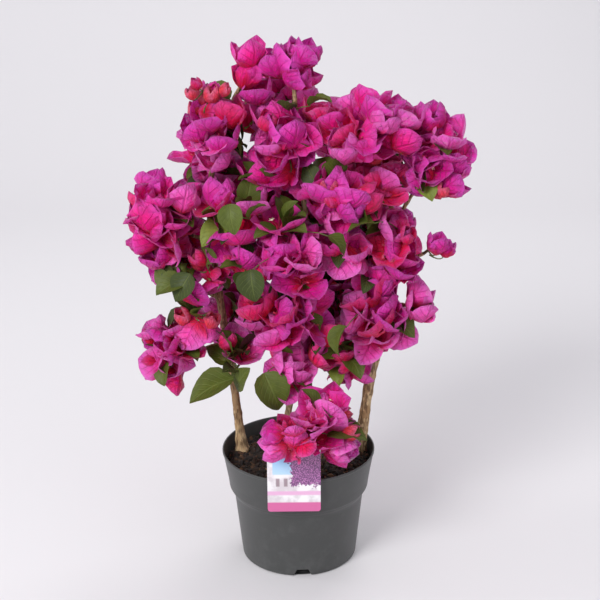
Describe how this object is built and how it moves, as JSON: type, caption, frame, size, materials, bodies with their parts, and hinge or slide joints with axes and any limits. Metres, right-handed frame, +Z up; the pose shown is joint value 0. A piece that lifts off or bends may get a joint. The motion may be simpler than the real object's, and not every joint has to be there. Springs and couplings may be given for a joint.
{
  "type": "potted bougainvillea bush",
  "caption": "Flowering bougainvillea bush in a round plastic nursery pot: woody stems fan out into boughs that carry masses of papery magenta bracts and pointed green leaves.",
  "frame": {"origin": "middle of the pot's flat underside", "axes": "+Z up the plant, +X to the plant's right as seen from the front, -Y towards the front, where the label hangs"},
  "size_m": [0.3623, 0.2194, 0.58],
  "materials": {
    "pot_plastic": "dark grey satin moulded plastic with a slightly worn rim",
    "peat_soil": "coarse dark peat and bark crumbs",
    "label_card": "thin glossy card with a plain printed design in sky blue, white and pink",
    "stem_bark": "tan-brown bark with pale lenticels and fine cracks",
    "bough_bark": "thin smooth brown-green bark",
    "blossom": "papery veined magenta bracts among dark glossy leaves"
  },
  "bodies": {
    "root": {"pot": "pot_plastic", "potting_soil": "peat_soil", "plant_label": "label_card", "trunk_left": "stem_bark", "stem_middle": "stem_bark", "stem_right": "stem_bark", "bough_crest_left": "bough_bark", "bough_crest_right": "bough_bark", "bough_upper_left": "bough_bark", "bough_upper_middle": "bough_bark", "bough_upper_right": "bough_bark", "bough_far_right": "bough_bark", "bough_left": "bough_bark", "bough_middle_right": "bough_bark", "bough_right": "bough_bark", "bough_middle": "bough_bark", "bough_lower_middle": "bough_bark", "bough_right_tip": "bough_bark", "bough_lower_left": "bough_bark", "bough_left_leaves": "bough_bark", "bough_lower_front": "bough_bark", "bough_low_shoot": "bough_bark", "bough_sprig": "bough_bark", "bough_bottom_front": "bough_bark", "bough_back_top": "bough_bark", "bough_back_upper_left": "bough_bark", "bough_back_upper_right": "bough_bark", "bough_back_right": "bough_bark", "bough_back_left": "bough_bark", "bough_back_middle": "bough_bark", "bough_back_lower_right": "bough_bark", "foliage_crest_left": "blossom", "foliage_crest_right": "blossom", "foliage_upper_left": "blossom", "foliage_upper_middle": "blossom", "foliage_upper_right": "blossom", "foliage_far_right": "blossom", "foliage_left": "blossom", "foliage_middle_left": "blossom", "foliage_middle_right": "blossom", "foliage_right": "blossom", "foliage_middle": "blossom", "foliage_lower_middle": "blossom", "foliage_lower_right": "blossom", "foliage_right_tip": "blossom", "foliage_lower_left": "blossom", "foliage_left_leaves": "blossom", "foliage_low_leaves": "blossom", "foliage_lower_front": "blossom", "foliage_low_shoot": "blossom", "foliage_sprig": "blossom", "foliage_bottom_front": "blossom", "foliage_back_top": "blossom", "foliage_back_upper_left": "blossom", "foliage_back_upper_right": "blossom", "foliage_back_right": "blossom", "foliage_back_left": "blossom", "foliage_back_middle": "blossom", "foliage_back_lower_left": "blossom", "foliage_back_lower_right": "blossom"}
  },
  "joints": []
}
